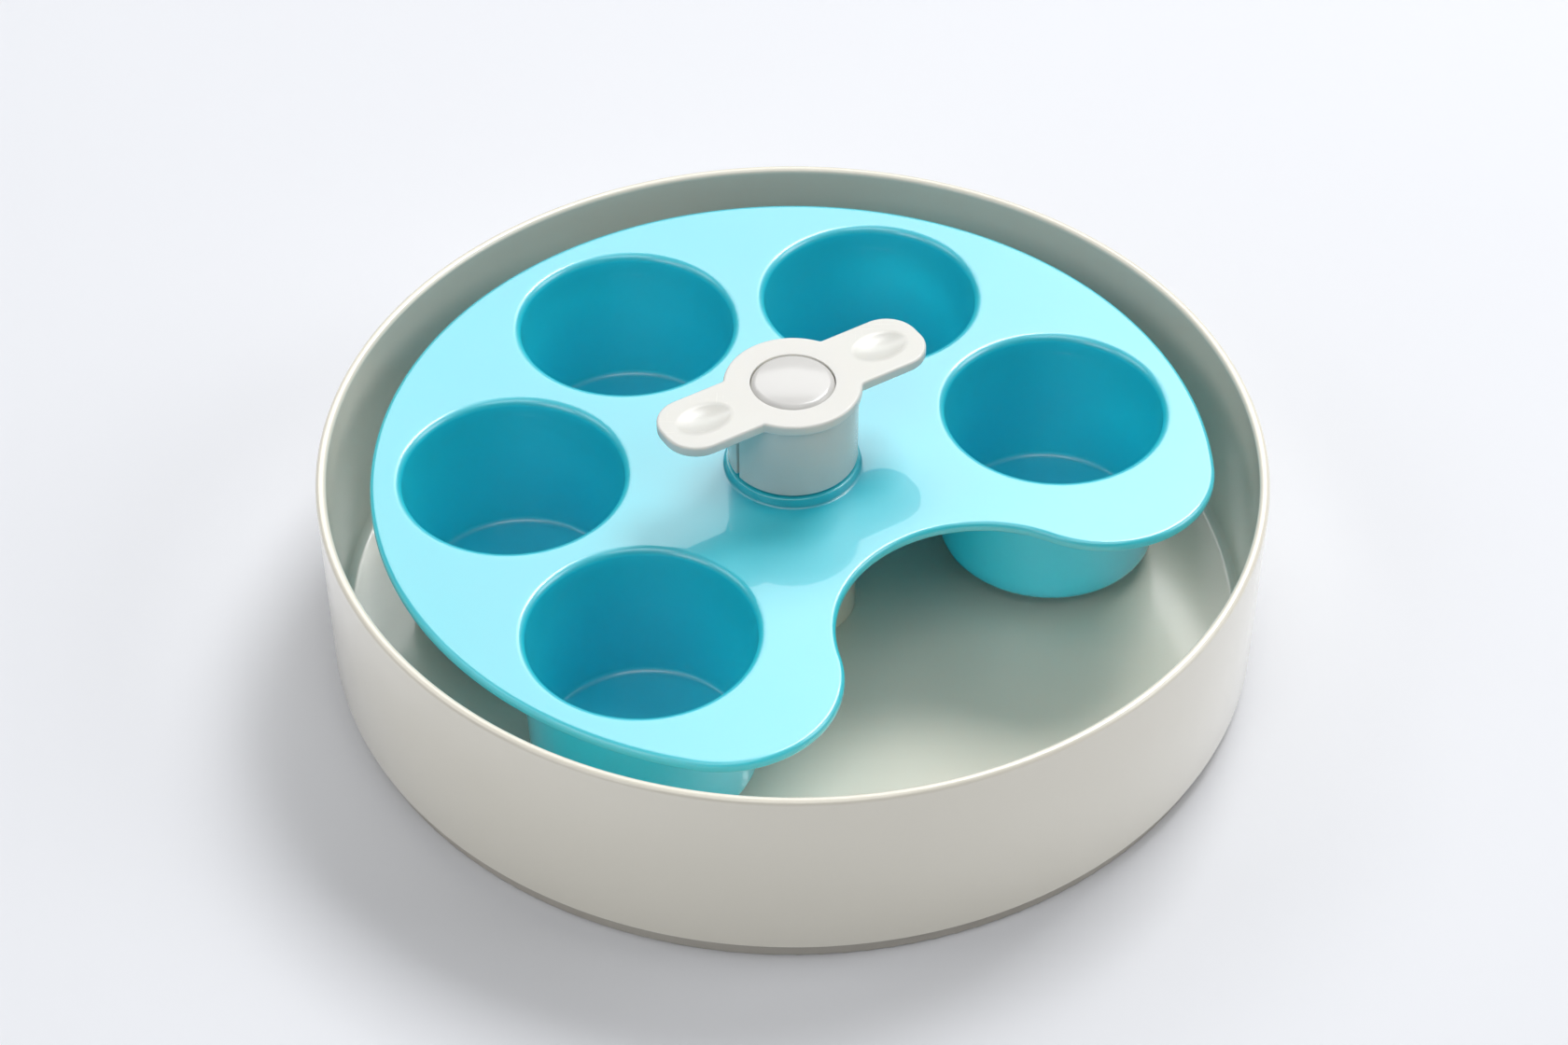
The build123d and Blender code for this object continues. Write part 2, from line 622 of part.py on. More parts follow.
with BuildPart() as brake_shoe_right:
    add(brake_shoe_left.part.rotate(Axis.Z, 180))
brake_shoe_right.part.label = "brake_shoe_right"
export_step(brake_shoe_right.part, "parts/brake_shoe_right.step")

# Brake pads: curved rubber facings on the shoes.
with BuildPart() as brake_pad_left:
    with BuildSketch(grip_height(SHOE_BOTTOM + 0.2)):
        Circle(PAD_R)
        Circle(SHOE_R + 0.02, mode=Mode.SUBTRACT)
        with Locations((PAD_R, 0)):
            Rectangle(2 * PAD_R, 2 * SHOE_HALF_Y - 0.2, mode=Mode.INTERSECT)
    extrude(amount=SHOE_TOP - SHOE_BOTTOM - 0.4)
brake_pad_left.part.label = "brake_pad_left"
export_step(brake_pad_left.part, "parts/brake_pad_left.step")

with BuildPart() as brake_pad_right:
    add(brake_pad_left.part.rotate(Axis.Z, 180))
brake_pad_right.part.label = "brake_pad_right"
export_step(brake_pad_right.part, "parts/brake_pad_right.step")

# Return ring: rubber ring round both legs.
RING_SECTION_R = 0.6
with BuildPart() as return_ring:
    with BuildSketch(Plane.XZ):
        with Locations((LEG_R + RING_SECTION_R + 0.05, LEG_TOP - 1.6)):
            Circle(RING_SECTION_R)
    revolve(axis=Axis.Z)
return_ring.part.label = "return_ring"
export_step(return_ring.part, "parts/return_ring.step")
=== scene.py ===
# %% [markdown]
# # A palette tray that spins in a bowl
# This lesson dresses a small piece of craft ware: a round bowl of ivory plastic, a glossy cyan tray with
# five deep cups that turns on a post, and a white wing handle with a thumb button. Most parts are used as
# measured. The tray and the bowl are built again with finer meshes, because their long highlights would
# show every facet. The first cell loads the measured model, which stays where it is. Units are metres.

# %% Load the measured model
import json
import math

import bmesh
import bpy
from mathutils import Matrix, Vector


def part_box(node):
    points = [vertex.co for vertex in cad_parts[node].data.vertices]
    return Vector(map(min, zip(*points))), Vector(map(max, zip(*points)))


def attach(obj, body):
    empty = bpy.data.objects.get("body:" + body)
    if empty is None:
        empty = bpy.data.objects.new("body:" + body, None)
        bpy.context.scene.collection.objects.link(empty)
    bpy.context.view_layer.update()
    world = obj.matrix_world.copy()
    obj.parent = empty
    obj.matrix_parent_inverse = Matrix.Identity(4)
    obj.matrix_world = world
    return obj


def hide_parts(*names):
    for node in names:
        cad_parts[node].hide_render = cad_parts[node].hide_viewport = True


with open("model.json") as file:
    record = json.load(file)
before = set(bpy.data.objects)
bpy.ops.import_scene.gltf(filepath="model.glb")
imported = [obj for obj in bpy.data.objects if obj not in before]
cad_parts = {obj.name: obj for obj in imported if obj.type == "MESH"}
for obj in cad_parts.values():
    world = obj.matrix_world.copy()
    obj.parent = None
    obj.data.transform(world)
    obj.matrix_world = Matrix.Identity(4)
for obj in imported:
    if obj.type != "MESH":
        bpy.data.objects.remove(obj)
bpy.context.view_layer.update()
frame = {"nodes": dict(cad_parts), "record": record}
nodes = frame["nodes"]
MM = 0.001

# %% [markdown]
# ## Where things are
# The rim of the bowl is the level that the rest of the scene works from: the new bowl is turned up to it,
# and the lamps are aimed at its middle. It could be typed, but then a change of the model would leave it
# behind, so it is read from the model. The other heights are printed as a check on the sizes that follow.

# %% Read the main heights
RIM_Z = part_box("bowl")[1].z
for name in ("bowl", "palette_tray", "wing_handle", "button"):
    low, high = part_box(name)
    print(name, "from", round(low.z / MM, 1), "to", round(high.z / MM, 1), "mm above the table")

# %% [markdown]
# ## A lathe for moulded shapes
# Most of this object is round, so most of it can be turned: a few points give the outline of half a
# section, and a full spin sweeps it about an upright axis. Corners of real mouldings are always a little
# round. A Bevel modifier could round them too, but each corner has a radius of its own and would need its
# own weight, so the outline itself carries the rounds.

# %% Helpers: rounded outlines and the lathe
WELD = 0.002 * MM


def rounded(points, steps):
    """An outline of (radius, height) pairs. A third number on a point is the radius of a round there."""
    outline = []
    for index, point in enumerate(points):
        corner = Vector(point[:2])
        if len(point) == 2:
            outline.append(corner)
            continue
        back = (Vector(points[index - 1][:2]) - corner).normalized()
        ahead = (Vector(points[index + 1][:2]) - corner).normalized()
        half = back.angle(ahead) / 2
        centre = corner + (back + ahead).normalized() * (point[2] / math.sin(half))
        start = corner + back * (point[2] / math.tan(half)) - centre
        end = corner + ahead * (point[2] / math.tan(half)) - centre
        swing = math.atan2(start.cross(end), start.dot(end))
        for step in range(steps + 1):
            outline.append(centre + Matrix.Rotation(swing * step / steps, 2) @ start)
    return outline


def lathe(mesh, outline, centre, segments):
    """Turns an outline about the upright axis through centre and adds it to the mesh."""
    turned = bmesh.new()
    verts = [turned.verts.new((centre.x + r, centre.y, z)) for r, z in outline]
    edges = [turned.edges.new(pair) for pair in zip(verts, verts[1:])]
    bmesh.ops.spin(
        turned,
        geom=verts + edges,
        cent=centre,
        axis=(0, 0, 1),
        angle=2 * math.pi,
        steps=segments,
        use_merge=True,
        use_duplicate=False,
    )
    bmesh.ops.remove_doubles(turned, verts=turned.verts[:], dist=WELD)
    data = bpy.data.meshes.new("turned")
    turned.to_mesh(data)
    turned.free()
    mesh.from_mesh(data)
    bpy.data.meshes.remove(data)


print("lathe ready")

# %% [markdown]
# ## Closing the flats
# After the lathe has made the round walls, the flats between them are still open. One planar fill closes a
# whole flat, however many holes it has to go round, and keeps it truly level. Joining the walls with a
# Boolean would also close it, but leaves slivers that show in a gloss. The last helper turns the mesh into
# an object.

# %% Helpers: flats and finished objects
SAME_LEVEL = 0.001 * MM
SHARP_ANGLE = math.radians(35)


def close_flat(mesh, z, normal):
    """Fills the flat between all open loops at height z."""
    rims = [
        edge for edge in mesh.edges
        if edge.is_boundary and all(abs(vert.co.z - z) < SAME_LEVEL for vert in edge.verts)
    ]
    bmesh.ops.triangle_fill(mesh, edges=rims, use_beauty=True, normal=normal)


def finished(name, mesh):
    """Turns a bmesh into a shown object with smooth shading and marked sharp edges."""
    bmesh.ops.recalc_face_normals(mesh, faces=mesh.faces[:])
    for face in mesh.faces:
        face.smooth = True
    for edge in mesh.edges:
        if len(edge.link_faces) == 2:
            edge.smooth = edge.calc_face_angle() < SHARP_ANGLE
    open_edges = sum(edge.is_boundary for edge in mesh.edges)
    data = bpy.data.meshes.new(name)
    mesh.to_mesh(data)
    mesh.free()
    piece = bpy.data.objects.new(name, data)
    bpy.context.scene.collection.objects.link(piece)
    print(name, "faces:", len(data.polygons), "open edges:", open_edges)
    return piece


print("closing helpers ready")

# %% [markdown]
# ## The tray's outline
# Seen from above, the tray is a disc with a bay. Three arcs make a side: the rim, a lobe round the bay's
# corner, and the bay itself, each tangent to the next. The same arcs, with their radii changed by an inset,
# make a loop at any distance inside the edge, so a stack of insets and heights gives the rounded edge.

# %% Outline of the tray at any inset
TRAY_R = 120.0 * MM
LOBE_R = 33.0 * MM
LOBE_ANGLE = math.radians(51.1)
BAY_AXIS = math.radians(-51.5)
BAY_NEAR = 43.9 * MM
RIM_STEPS = 400
LOBE_STEPS = 110
BAY_STEPS = 120

lobe_centre = Vector((math.cos(LOBE_ANGLE), math.sin(LOBE_ANGLE))) * (TRAY_R - LOBE_R)
bay_step = BAY_NEAR - lobe_centre.x
bay_r = (bay_step**2 + lobe_centre.y**2 - LOBE_R**2) / (2 * (LOBE_R - bay_step))
bay_centre = Vector((BAY_NEAR + bay_r, 0))
bay_angle = math.atan2(lobe_centre.y, lobe_centre.x - bay_centre.x)


def arc(centre, radius, start, end, steps):
    """Points along an arc, without its last one."""
    turns = (start + (end - start) * step / steps for step in range(steps))
    return [centre + Vector((math.cos(turn), math.sin(turn))) * radius for turn in turns]


def outline(inset):
    """Points of a closed outline round the tray, inset from its edge."""
    mirrored = Vector((lobe_centre.x, -lobe_centre.y))
    lobe = LOBE_R - inset
    points = arc(Vector((0, 0)), TRAY_R - inset, LOBE_ANGLE, 2 * math.pi - LOBE_ANGLE, RIM_STEPS)
    points += arc(mirrored, lobe, -LOBE_ANGLE, math.pi - bay_angle, LOBE_STEPS)
    points += arc(bay_centre, bay_r + inset, 2 * math.pi - bay_angle, bay_angle, BAY_STEPS)
    points += arc(lobe_centre, lobe, bay_angle - math.pi, LOBE_ANGLE, LOBE_STEPS)
    turn = Matrix.Rotation(BAY_AXIS, 2)
    return [turn @ point for point in points]


print("bay radius", round(bay_r / MM, 2), "mm")

# %% [markdown]
# ## The plate's edge
# The plate is three millimetres thick, with a generous round on top and a small one below. It starts as one
# loop of edges on the top face, and each extrusion carries the loop to the next inset and height. A layer
# of whole numbers remembers each vertex's place in the loop, so the new vertices find their own points.
# Both ends of the profile are narrow flat rings, so that the round melts into the flat beside it.

# %% Extrude the plate's edge
TRAY_TOP = 59.0 * MM
PLATE = 3.0 * MM
PLATE_UNDER = TRAY_TOP - PLATE
EDGE_ROUND = 1.4 * MM
HEEL_ROUND = 0.6 * MM
EDGE_STEPS = 10
FLAT = 0.4 * MM


def rim_band(mesh, profile):
    """Carries the outline down a profile of insets and heights, one extrusion a step."""
    place = mesh.verts.layers.int.new("place")
    inset, z = profile[0]
    verts = [mesh.verts.new((*point, z)) for point in outline(inset)]
    for index, vert in enumerate(verts):
        vert[place] = index
    loop = [mesh.edges.new((vert, verts[index - 1])) for index, vert in enumerate(verts)]
    for inset, z in profile[1:]:
        points = outline(inset)
        made = bmesh.ops.extrude_edge_only(mesh, edges=loop)["geom"]
        for vert in (item for item in made if isinstance(item, bmesh.types.BMVert)):
            vert.co = (*points[vert[place]], z)
        loop = [item for item in made if isinstance(item, bmesh.types.BMEdge) and item.is_boundary]


edge_section = [
    (-EDGE_ROUND - FLAT, TRAY_TOP),
    (0, TRAY_TOP, EDGE_ROUND),
    (0, PLATE_UNDER, HEEL_ROUND),
    (-HEEL_ROUND - FLAT, PLATE_UNDER),
]
tray_mesh = bmesh.new()
rim_band(tray_mesh, [(-x, z) for x, z in rounded(edge_section, EDGE_STEPS)])
print("edge band:", len(tray_mesh.faces), "faces")

# %% [markdown]
# ## The hub
# The tray's middle has a low collar round the handle's sleeve, a bore with a ledge for the bearing, and a
# skirt below. All of it is round, so one outline makes it: out on the top face, up and over the collar,
# down the bore and back along the skirt to the underside.

# %% Turn the hub
COLLAR_R = 19.2 * MM
COLLAR_TOP = 62.2 * MM
COLLAR_ROUND = 0.5 * MM
COLLAR_ROOT = 0.8 * MM
BORE_R = 16.5 * MM
BORE_ROUND = 0.3 * MM
LEDGE_R = 18.45 * MM
LEDGE_Z = 57.2 * MM
SKIRT_R = 21.2 * MM
SKIRT_BOTTOM = 51.0 * MM
SKIRT_ROUND = 0.4 * MM
SKIRT_ROOT = 0.5 * MM
HUB_SEGMENTS = 192
HUB_STEPS = 6
AXIS = Vector((0, 0, 0))

hub = [
    (COLLAR_R + COLLAR_ROOT + FLAT, TRAY_TOP),
    (COLLAR_R, TRAY_TOP, COLLAR_ROOT),
    (COLLAR_R, COLLAR_TOP, COLLAR_ROUND),
    (BORE_R, COLLAR_TOP, BORE_ROUND),
    (BORE_R, LEDGE_Z),
    (LEDGE_R, LEDGE_Z),
    (LEDGE_R, PLATE_UNDER),
    (COLLAR_R, PLATE_UNDER),
    (COLLAR_R, SKIRT_BOTTOM, SKIRT_ROUND),
    (SKIRT_R, SKIRT_BOTTOM, SKIRT_ROUND),
    (SKIRT_R, PLATE_UNDER, SKIRT_ROOT),
    (SKIRT_R + SKIRT_ROOT + FLAT, PLATE_UNDER),
]
lathe(tray_mesh, rounded(hub, HUB_STEPS), AXIS, HUB_SEGMENTS)
print("hub turned:", len(tray_mesh.faces), "faces so far")

# %% [markdown]
# ## The cups' sections
# The five cups are alike: a soft lip at the mouth, a wall that leans in by a couple of degrees so that the
# part leaves its mould, and a flat floor with a round at its foot. Each is turned twice, inside and
# outside, because a Solidify modifier would give the floor and the lip the wall's thickness too, and the
# real ones differ.

# %% Outline a cup inside and outside
CUP_MOUTH_R = 31.7 * MM
CUP_WALL = 1.7 * MM
CUP_DRAFT = math.radians(2.2)
CUP_FLOOR = 13.8 * MM
CUP_BOTTOM = 11.0 * MM
CUP_DEPTH = TRAY_TOP - CUP_FLOOR
WALL_RINGS = (0.33, 0.67)
LIP_ROUND = 2.3 * MM
FLOOR_ROUND = 2.0 * MM
FLOOR_RING = 4.0 * MM
ROOT_ROUND = 1.0 * MM
BOTTOM_ROUND = 3.0 * MM
BOTTOM_RING = 5.0 * MM


def drafted(radius, depth):
    """Radius of a drafted wall at a depth below the place where it is radius."""
    return radius - math.tan(CUP_DRAFT) * depth


floor_r = drafted(CUP_MOUTH_R, CUP_DEPTH)
cup_inside = [
    (CUP_MOUTH_R + LIP_ROUND + FLAT, TRAY_TOP),
    (CUP_MOUTH_R, TRAY_TOP, LIP_ROUND),
    *((drafted(CUP_MOUTH_R, CUP_DEPTH * share), TRAY_TOP - CUP_DEPTH * share) for share in WALL_RINGS),
    (floor_r, CUP_FLOOR, FLOOR_ROUND),
    (floor_r - FLOOR_RING, CUP_FLOOR),
    (0, CUP_FLOOR),
]
shell_r = CUP_MOUTH_R + CUP_WALL
bottom_r = drafted(shell_r, PLATE_UNDER - CUP_BOTTOM)
cup_outside = [
    (shell_r + ROOT_ROUND + FLAT, PLATE_UNDER),
    (shell_r, PLATE_UNDER, ROOT_ROUND),
    (bottom_r, CUP_BOTTOM, BOTTOM_ROUND),
    (bottom_r - BOTTOM_RING, CUP_BOTTOM),
    (0, CUP_BOTTOM),
]
print("cup", round(CUP_DEPTH / MM, 1), "mm deep,", round(2 * floor_r / MM, 1), "mm across its floor")

# %% [markdown]
# ## The whole tray
# The cups stand at even steps round the hub, opposite the bay. An array about the centre would copy one
# cup, but a loop is as short and leaves one mesh. Then two planar fills close the top and the underside
# round the rings of the edge, the hub and the cups. The tray moves with its body, and it takes the place of
# the measured tray and cups.

# %% Turn the cups and close the tray
CUPS = 5
CUP_PITCH_R = 79.5 * MM
CUP_PITCH_ANGLE = math.radians(55.3)
INSIDE_SEGMENTS = 224
INSIDE_STEPS = 10
OUTSIDE_SEGMENTS = 144
OUTSIDE_STEPS = 6


def around(turn, radius):
    """A point on a circle about the axis."""
    return Vector((math.cos(turn), math.sin(turn), 0)) * radius


first_cup = BAY_AXIS + math.pi - CUP_PITCH_ANGLE * (CUPS - 1) / 2
for cup in range(CUPS):
    centre = around(first_cup + CUP_PITCH_ANGLE * cup, CUP_PITCH_R)
    lathe(tray_mesh, rounded(cup_inside, INSIDE_STEPS), centre, INSIDE_SEGMENTS)
    lathe(tray_mesh, rounded(cup_outside, OUTSIDE_STEPS), centre, OUTSIDE_SEGMENTS)
close_flat(tray_mesh, TRAY_TOP, (0, 0, 1))
close_flat(tray_mesh, PLATE_UNDER, (0, 0, -1))

tray = finished("tray_moulding", tray_mesh)
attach(tray, "tray")
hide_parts("palette_tray", *(f"cup_{number}" for number in range(1, CUPS + 1)))

# %% [markdown]
# ## A seamless bowl
# The bowl's rim is the longest highlight of all, so the bowl is turned in the same way: one outline from
# the boss in the middle, over the floor and the rim, and back under. Three screw holes go through the boss.
# They are turned as short tubes, and the fills of the boss's two flats go round them.

# %% Build the bowl
BOWL_R = 135.0 * MM
BOWL_WALL = 3.0 * MM
BOWL_DRAFT = 0.5 * MM
BOWL_FLOOR = 6.0 * MM
BOWL_FLOOR_ROUND = 3.0 * MM
BOWL_UNDER = 2.6 * MM
RIM_ROUND = 1.35 * MM
FOOT_STEP_R = 131.0 * MM
FOOT_STEP_Z = 5.4 * MM
FOOT_ROUND = 0.8 * MM
BOSS_R = 15.4 * MM
BOSS_TOP = 14.0 * MM
RECESS_R = 12.5 * MM
RECESS_TOP = 11.0 * MM
SCREWS = 3
SCREW_PITCH_R = 8.0 * MM
SCREW_HOLE_R = 1.7 * MM
BOWL_SEGMENTS = 384
BOWL_STEPS = 9
SCREW_SEGMENTS = 40

section = [
    (RECESS_R - FLAT, BOSS_TOP),
    (BOSS_R, BOSS_TOP),
    (BOSS_R, BOWL_FLOOR),
    (BOWL_R - BOWL_WALL - BOWL_DRAFT, BOWL_FLOOR, BOWL_FLOOR_ROUND),
    (BOWL_R - BOWL_WALL, RIM_Z, RIM_ROUND),
    (BOWL_R, RIM_Z, RIM_ROUND),
    (BOWL_R - BOWL_DRAFT, FOOT_STEP_Z, FOOT_ROUND),
    (FOOT_STEP_R, FOOT_STEP_Z),
    (FOOT_STEP_R, BOWL_UNDER),
    (RECESS_R, BOWL_UNDER),
    (RECESS_R, RECESS_TOP),
    (RECESS_R - FLAT, RECESS_TOP),
]
screw_hole = [(SCREW_HOLE_R, BOSS_TOP), (SCREW_HOLE_R, RECESS_TOP)]
bowl_mesh = bmesh.new()
lathe(bowl_mesh, rounded(section, BOWL_STEPS), AXIS, BOWL_SEGMENTS)
for screw in range(SCREWS):
    lathe(bowl_mesh, screw_hole, around(2 * math.pi * screw / SCREWS, SCREW_PITCH_R), SCREW_SEGMENTS)
close_flat(bowl_mesh, BOSS_TOP, (0, 0, 1))
close_flat(bowl_mesh, RECESS_TOP, (0, 0, -1))

bowl = finished("bowl_moulding", bowl_mesh)
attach(bowl, "bowl")
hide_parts("bowl")

# %% [markdown]
# ## The camera
# A long lens from about a metre keeps the circles close to true ellipses, as a catalogue does. A short lens
# close by would fill the frame as well, but it swells the near side. The camera stands in front of the bowl
# and looks down at a little under 45 degrees, at a point above the bowl's floor.

# %% Stand the camera
CAMERA_PLACE = Vector((0.0, -0.7391, 0.7221))
CAMERA_AIM = Vector((-0.0025, 0.0062, 0.0300))
CAMERA_LENS = 80.08
SENSOR_WIDTH = 36

camera_data = bpy.data.cameras.new("catalogue_lens")
camera_data.lens = CAMERA_LENS
camera_data.sensor_width = SENSOR_WIDTH
camera = bpy.data.objects.new("catalogue_camera", camera_data)
camera.location = CAMERA_PLACE
camera.rotation_euler = (CAMERA_AIM - CAMERA_PLACE).to_track_quat("-Z", "Y").to_euler()
bpy.context.scene.collection.objects.link(camera)
bpy.context.scene.camera = camera
slope = math.asin((CAMERA_PLACE - CAMERA_AIM).normalized().z)
print("camera looks down", round(math.degrees(slope), 1), "degrees")

# %% [markdown]
# ## Shader maths in plain Python
# A finish is a graph of nodes, and a graph is hard to read as code. One small class, Wire, holds a socket
# and overloads + and *, so an expression on wires adds the Math nodes by itself. Finish holds one material
# and adds any other node: its settings go in first, and then the values or wires of its sockets.

# %% Wires and finishes
COLOUR_A, COLOUR_B, COLOUR_OUT = 6, 7, 2  # which of a Mix node's sockets are for colours


class Wire:
    """A number or colour on its way through a finish."""

    def __init__(self, finish, socket):
        self.finish = finish
        self.socket = socket

    def maths(self, operation, *values):
        return self.finish.node("ShaderNodeMath", {"operation": operation}, dict(enumerate(values)))

    def __add__(self, other):
        return self.maths("ADD", self, other)

    def __mul__(self, other):
        return self.maths("MULTIPLY", self, other)

    __radd__ = __add__
    __rmul__ = __mul__


class Finish:
    """One material: a Principled shader and the nodes that feed it."""

    def __init__(self, name, **fixed):
        self.material = bpy.data.materials.new(name)
        self.material.use_nodes = True
        self.tree = self.material.node_tree
        self.shader = self.tree.nodes["Principled BSDF"]
        self.set(**fixed)
        self.place = self.node("ShaderNodeTexCoord", output="Object")

    def node(self, kind, settings=None, values=None, output=0):
        """Adds a node, with its settings first and then the values or wires of its sockets."""
        made = self.tree.nodes.new(kind)
        for name, value in (settings or {}).items():
            setattr(made, name, value)
        for name, value in (values or {}).items():
            self.feed(made.inputs[name], value)
        return Wire(self, made.outputs[output])

    def feed(self, socket, value):
        if isinstance(value, Wire):
            self.tree.links.new(value.socket, socket)
        else:
            socket.default_value = value

    def set(self, **sockets):
        """Feeds the shader's own sockets; an underscore stands for a space in a name."""
        for name, value in sockets.items():
            self.feed(self.shader.inputs[name.replace("_", " ")], value)

    def noise(self, size, detail=2, stretch=(1, 1, 1)):
        """Cloudy noise whose blobs are about size across, from 0 to 1."""
        values = {"Vector": self.place, "Scale": stretch}
        spread = self.node("ShaderNodeMapping", {"vector_type": "POINT"}, values)
        values = {"Vector": spread, "Scale": 1 / size, "Detail": detail}
        return self.node("ShaderNodeTexNoise", None, values)

    def mask(self, wire, low, high):
        """0 below low, 1 above high, and smooth between them."""
        return self.node(
            "ShaderNodeMapRange",
            {"interpolation_type": "SMOOTHSTEP"},
            {"Value": wire, "From Min": low, "From Max": high, "To Min": 0.0, "To Max": 1.0},
        )

    def mix(self, mask, first, second):
        """A colour between first, where mask is 0, and second, where it is 1."""
        values = {"Factor": mask, COLOUR_A: first, COLOUR_B: second}
        return self.node("ShaderNodeMix", {"data_type": "RGBA"}, values, output=COLOUR_OUT)

    def bump(self, height, depth):
        """Relief: height runs from 0 to 1 and stands for depth in metres."""
        normal = self.node("ShaderNodeBump", None, {"Height": height, "Strength": 1.0, "Distance": depth})
        self.set(Normal=normal)

    def tell(self):
        """Prints what the finish is made of."""
        print(self.material.name, "has", len(self.tree.nodes), "nodes")


print("finish kit ready")

# %% [markdown]
# ## Moulded plastic
# A polished mould leaves a surface that is nearly a mirror, but never quite: the melt cools unevenly, so it
# has a slow waviness, a fine grain, and after some use a veil of hairline scuffs. An image of scuffs would
# need a layout of its own for every part, so noises of different sizes and stretches give them instead. The
# scuffs change only the roughness, as they do on real plastic.

# %% Helper: what every moulded surface shares
CLOUD_SIZE = 90 * MM
CLOUD_EDGES = (0.35, 0.65)
HANDLED_SIZE = 30 * MM
HANDLED_EDGES = (0.35, 0.75)
WAVE_SIZE = 14 * MM
GRAIN_SIZE = 0.6 * MM
SCUFF_STRENGTH = 0.018
SCUFF_EDGE = 0.08


def srgb(red, green, blue):
    """A screen colour from 0 to 255 as the linear colour that a shader takes."""
    def linear(value):
        share = value / 255
        return share / 12.92 if share <= 0.04045 else ((share + 0.055) / 1.055) ** 2.4
    return (linear(red), linear(green), linear(blue), 1.0)


def scuffs(finish, size, stretch, rarity):
    """Fine straight scuffs: 1 on a scuff and 0 between them."""
    return finish.mask(finish.noise(size, detail=1, stretch=stretch), rarity, rarity + SCUFF_EDGE)


def moulded(finish, light, dark, gloss, dull, wave_depth, grain_depth, grain_size=GRAIN_SIZE):
    """Gives a finish the cloudiness, scuffs, waviness and grain of a moulded part."""
    cloud = finish.mask(finish.noise(CLOUD_SIZE), *CLOUD_EDGES)
    handled = finish.mask(finish.noise(HANDLED_SIZE), *HANDLED_EDGES)
    along = scuffs(finish, 14 * MM, stretch=(1, 38, 30), rarity=0.66)
    across = scuffs(finish, 11 * MM, stretch=(34, 1, 28), rarity=0.68)
    wave = finish.noise(WAVE_SIZE, detail=1)
    grain = finish.noise(grain_size)
    finish.set(
        Base_Color=finish.mix(cloud, light, dark),
        Roughness=handled * (dull - gloss) + (along + across) * SCUFF_STRENGTH + gloss,
    )
    finish.bump(wave + grain * (grain_depth / wave_depth), wave_depth)
    finish.tell()
    return finish


# %% [markdown]
# ## Cyan tray
# The tray is thick glossy plastic, pale on top where it mirrors the lamps and a full teal inside the cups.
# One low roughness would make it a mirror and nothing more. So a rough base gives the broad sheen, a thin
# clear coat on it mirrors the handle, and light that scatters below the surface, green and blue further
# than red, keeps the cups' colour deep without turning it black.

# %% Finish: cyan tray
tray_finish = moulded(
    Finish("tray_cyan", IOR=1.75),
    light=srgb(0, 209, 234),
    dark=srgb(0, 207, 232),
    gloss=0.42,
    dull=0.44,
    wave_depth=0.002 * MM,
    grain_depth=0.0004 * MM,
)
tray_finish.set(Coat_Weight=0.8, Coat_Roughness=0.03, Specular_IOR_Level=1.0)
tray_finish.set(Subsurface_Weight=0.6, Subsurface_Scale=12 * MM, Subsurface_Radius=(0.15, 1.0, 1.0))

# %% [markdown]
# ## Ivory bowl
# The bowl is a warmer, softer gloss: its floor mirrors the cups, but blurs them. Raising the roughness
# alone would wash the mirrored cups out, so a blurred coat lies over the rough base here too.

# %% Finish: ivory bowl
bowl_finish = moulded(
    Finish("bowl_ivory", IOR=1.5),
    light=srgb(245, 240, 225),
    dark=srgb(244, 239, 224),
    gloss=0.28,
    dull=0.29,
    wave_depth=0.004 * MM,
    grain_depth=0.0015 * MM,
)
bowl_finish.set(Coat_Weight=1.0, Coat_Roughness=0.14)

# %% [markdown]
# ## White grip and button
# The handle and its sleeve are white plastic that lets a little light in, which softens the thumb dimples,
# so they get some scattering as well. The button is handled more than anything else and has the higher
# polish, which a lower roughness is enough for.

# %% Finish: white grip and button
grip_finish = moulded(
    Finish("grip_white", IOR=1.5),
    light=srgb(229, 228, 223),
    dark=srgb(228, 227, 221),
    gloss=0.24,
    dull=0.27,
    wave_depth=0.003 * MM,
    grain_depth=0.001 * MM,
)
grip_finish.set(Subsurface_Weight=0.5, Subsurface_Scale=3 * MM, Subsurface_Radius=(1.0, 0.95, 0.85))
button_finish = moulded(
    Finish("button_white", IOR=1.5),
    light=srgb(222, 221, 218),
    dark=srgb(220, 219, 216),
    gloss=0.12,
    dull=0.18,
    wave_depth=0.003 * MM,
    grain_depth=0.0006 * MM,
)

# %% [markdown]
# ## Inner parts and bearings
# Parts that are seldom seen are grey and duller, because nobody polishes their moulds. The bearings are a
# slippery natural plastic, off-white and a little waxy. Both come from the same helper with a stronger
# grain.

# %% Finish: grey inner parts and natural bearings
inner_finish = moulded(
    Finish("inner_grey", IOR=1.5),
    light=srgb(150, 152, 152),
    dark=srgb(140, 142, 142),
    gloss=0.42,
    dull=0.55,
    wave_depth=0.006 * MM,
    grain_depth=0.004 * MM,
)
bearing_finish = moulded(
    Finish("bearing_natural", IOR=1.48),
    light=srgb(238, 236, 226),
    dark=srgb(230, 228, 216),
    gloss=0.34,
    dull=0.42,
    wave_depth=0.005 * MM,
    grain_depth=0.002 * MM,
)

# %% [markdown]
# ## Soft foot
# The foot ring is a grippy elastomer: matt, a shade darker than the bowl, and finely pebbled. The pebbles
# are only hundredths of a millimetre deep, so they are a bump in the finish and not a mesh.

# %% Finish: soft foot
foot_finish = moulded(
    Finish("foot_rubber", IOR=1.45),
    light=srgb(205, 200, 190),
    dark=srgb(196, 190, 180),
    gloss=0.62,
    dull=0.75,
    wave_depth=0.02 * MM,
    grain_depth=0.02 * MM,
    grain_size=0.35 * MM,
)

